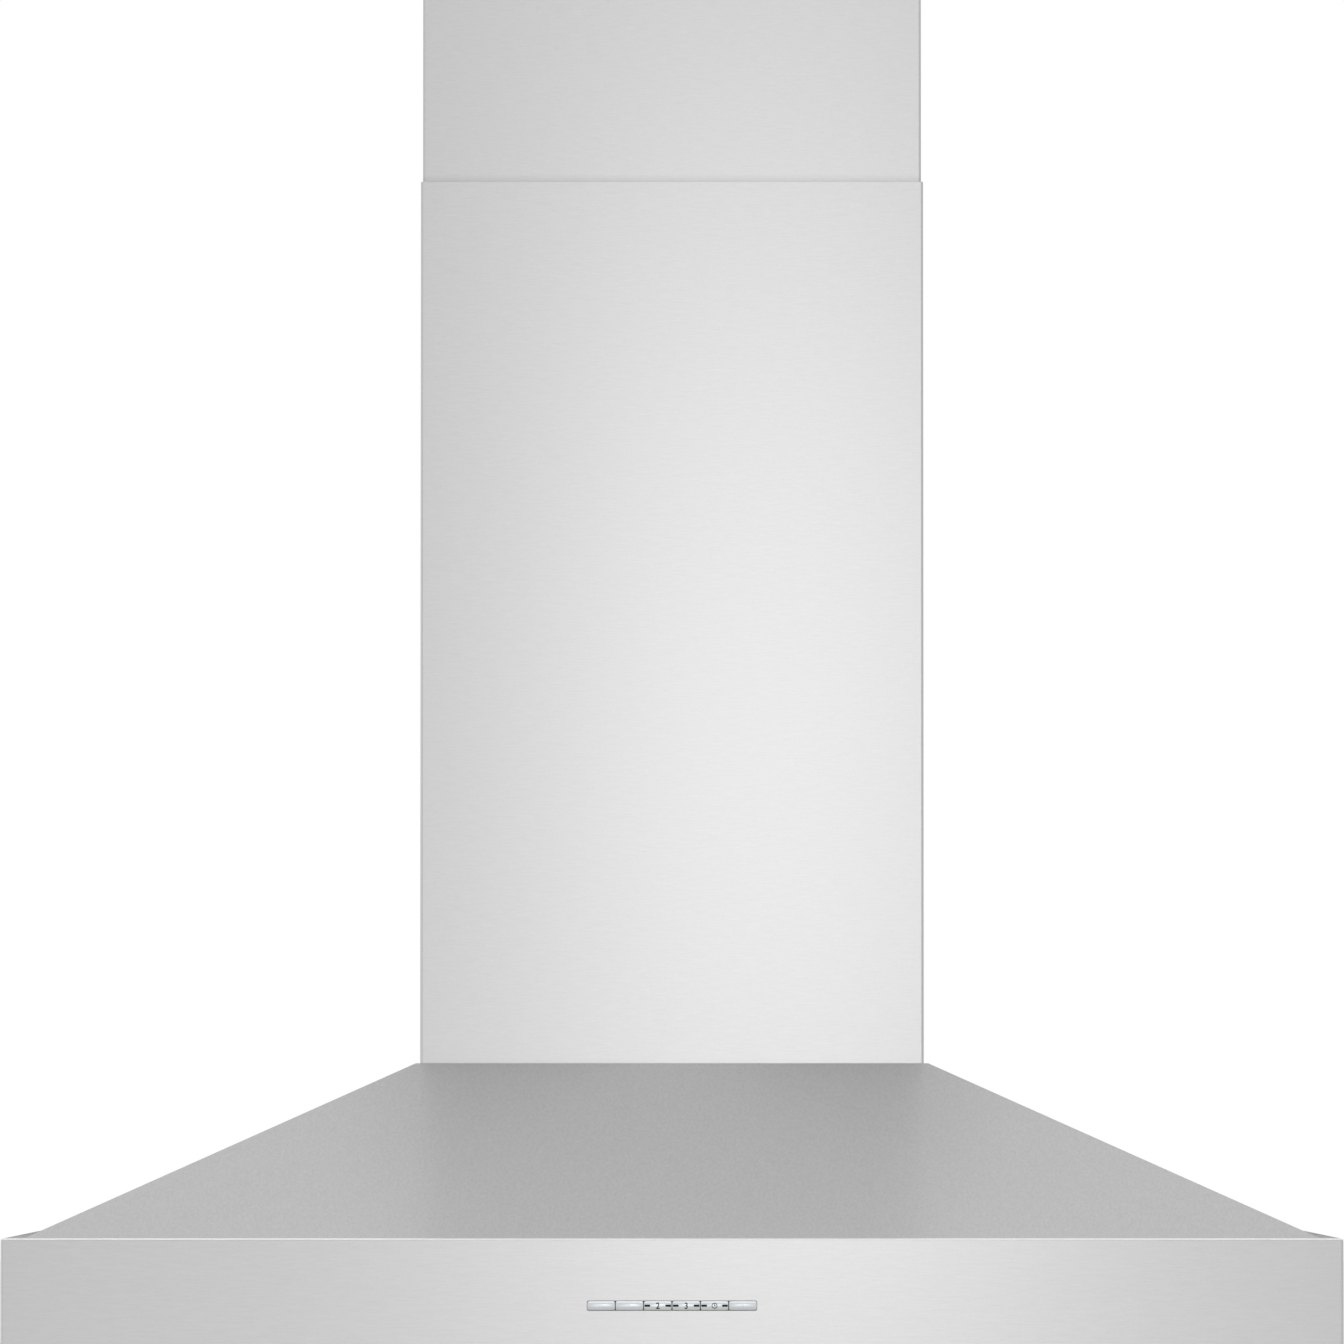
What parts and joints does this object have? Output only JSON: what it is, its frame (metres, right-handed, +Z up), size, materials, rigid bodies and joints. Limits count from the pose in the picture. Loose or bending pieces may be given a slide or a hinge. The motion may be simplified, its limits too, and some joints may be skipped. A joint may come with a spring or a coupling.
{
  "type": "wall mount range hood",
  "caption": "Pyramid canopy range hood with telescoping chimney, push-button row, fold-down mesh filters, lamps, blower wheel and damper collar.",
  "frame": {"origin": "middle of the rear panel's bottom edge, on the face that lies against the wall", "axes": "+X to the right along the wall as the user sees it, +Y into the wall, +Z up; the front faces -Y"},
  "size_m": [0.9, 0.5014, 0.959],
  "materials": {
    "brushed_stainless": "brushed along X",
    "galvanised_sheet": "galvanised, dull spangle",
    "zinc_plated_steel": "zinc plated",
    "ground_steel": "ground",
    "cast_aluminium": "die cast",
    "rolled_aluminium": "mill finish",
    "expanded_aluminium": "expanded, washed",
    "moulded_plastic": "moulded, matt",
    "white_plastic": "moulded, matt",
    "polished_chrome": "polished",
    "button_plating": "satin plating on moulded plastic",
    "frosted_glass": "frosted",
    "circuit_board": "solder mask"
  },
  "bodies": {
    "root": {"canopy_shell": "brushed_stainless", "under_panel": "brushed_stainless", "lower_cover": "brushed_stainless", "rear_panel": "galvanised_sheet", "hang_plate_left": "zinc_plated_steel", "hang_plate_right": "zinc_plated_steel", "panel_screws": "zinc_plated_steel", "cover_angle_left": "galvanised_sheet", "cover_angle_right": "galvanised_sheet", "cover_screws": "zinc_plated_steel", "blower_box": "galvanised_sheet", "box_screws": "zinc_plated_steel", "scroll_left": "moulded_plastic", "scroll_right": "moulded_plastic", "inlet_ring_left": "moulded_plastic", "inlet_ring_right": "moulded_plastic", "motor_body": "cast_aluminium", "motor_bracket": "zinc_plated_steel", "motor_screws": "zinc_plated_steel", "capacitor": "white_plastic", "capacitor_clip": "zinc_plated_steel", "outlet_collar": "moulded_plastic", "collar_screws": "zinc_plated_steel", "damper_spindle": "ground_steel", "junction_box": "galvanised_sheet", "junction_cover": "galvanised_sheet", "power_module": "moulded_plastic", "lamp_driver": "white_plastic", "lamp_bezel_left": "polished_chrome", "lamp_bezel_right": "polished_chrome", "lamp_lens_left": "frosted_glass", "lamp_lens_right": "frosted_glass", "lamp_heat_sink_left": "cast_aluminium", "lamp_heat_sink_right": "cast_aluminium", "control_housing": "moulded_plastic", "control_board": "circuit_board", "key_switches": "moulded_plastic"},
    "upper_chimney": {"upper_cover": "brushed_stainless", "wall_bracket": "galvanised_sheet", "bracket_screws": "zinc_plated_steel"},
    "blower_wheel": {"impeller": "galvanised_sheet", "motor_shaft": "ground_steel"},
    "damper_front": {"damper_flap_front": "rolled_aluminium"},
    "damper_rear": {"damper_flap_rear": "rolled_aluminium"},
    "filter_left": {"filter_frame_left": "rolled_aluminium", "filter_mesh_left": "expanded_aluminium"},
    "latch_left": {"filter_latch_left": "moulded_plastic"},
    "filter_middle": {"filter_frame_middle": "rolled_aluminium", "filter_mesh_middle": "expanded_aluminium"},
    "latch_middle": {"filter_latch_middle": "moulded_plastic"},
    "filter_right": {"filter_frame_right": "rolled_aluminium", "filter_mesh_right": "expanded_aluminium"},
    "latch_right": {"filter_latch_right": "moulded_plastic"},
    "key_light": {"button_light": "button_plating"},
    "key_speed_1": {"button_speed_1": "button_plating"},
    "key_speed_2": {"button_speed_2": "button_plating"},
    "key_speed_3": {"button_speed_3": "button_plating"},
    "key_timer": {"button_timer": "button_plating"},
    "key_boost": {"button_boost": "button_plating"}
  },
  "joints": [
    {"name": "upper_chimney_slide", "type": "slide", "parent": "root", "child": "upper_chimney", "axis": [0, 0, 1], "range_m": [-0.115, 0.108]},
    {"name": "blower_spin", "type": "hinge", "parent": "root", "child": "blower_wheel", "pos_m": [0, -0.151, 0.32651], "axis": [1, 0, 0], "continuous": true},
    {"name": "damper_front_swing", "type": "hinge", "parent": "root", "child": "damper_front", "pos_m": [0, -0.1005, 0.46851], "axis": [-1, 0, 0], "range_deg": [0, 75]},
    {"name": "damper_rear_swing", "type": "hinge", "parent": "root", "child": "damper_rear", "pos_m": [0, -0.1005, 0.46851], "axis": [1, 0, 0], "range_deg": [0, 75]},
    {"name": "filter_left_tilt", "type": "hinge", "parent": "root", "child": "filter_left", "pos_m": [-0.274, -0.0355, 0.0225], "axis": [1, 0, 0], "range_deg": [0, 75]},
    {"name": "latch_left_slide", "type": "slide", "parent": "filter_left", "child": "latch_left", "axis": [0, -1, 0], "range_m": [0, 0.006]},
    {"name": "filter_middle_tilt", "type": "hinge", "parent": "root", "child": "filter_middle", "pos_m": [0, -0.0355, 0.0225], "axis": [1, 0, 0], "range_deg": [0, 75]},
    {"name": "latch_middle_slide", "type": "slide", "parent": "filter_middle", "child": "latch_middle", "axis": [0, -1, 0], "range_m": [0, 0.006]},
    {"name": "filter_right_tilt", "type": "hinge", "parent": "root", "child": "filter_right", "pos_m": [0.274, -0.0355, 0.0225], "axis": [1, 0, 0], "range_deg": [0, 75]},
    {"name": "latch_right_slide", "type": "slide", "parent": "filter_right", "child": "latch_right", "axis": [0, -1, 0], "range_m": [0, 0.006]},
    {"name": "press_light", "type": "slide", "parent": "root", "child": "key_light", "axis": [0, 1, 0], "range_m": [0, 0.001], "stiffness_N_per_m": 400},
    {"name": "press_speed_1", "type": "slide", "parent": "root", "child": "key_speed_1", "axis": [0, 1, 0], "range_m": [0, 0.001], "stiffness_N_per_m": 400},
    {"name": "press_speed_2", "type": "slide", "parent": "root", "child": "key_speed_2", "axis": [0, 1, 0], "range_m": [0, 0.001], "stiffness_N_per_m": 400},
    {"name": "press_speed_3", "type": "slide", "parent": "root", "child": "key_speed_3", "axis": [0, 1, 0], "range_m": [0, 0.001], "stiffness_N_per_m": 400},
    {"name": "press_timer", "type": "slide", "parent": "root", "child": "key_timer", "axis": [0, 1, 0], "range_m": [0, 0.001], "stiffness_N_per_m": 400},
    {"name": "press_boost", "type": "slide", "parent": "root", "child": "key_boost", "axis": [0, 1, 0], "range_m": [0, 0.001], "stiffness_N_per_m": 400}
  ]
}
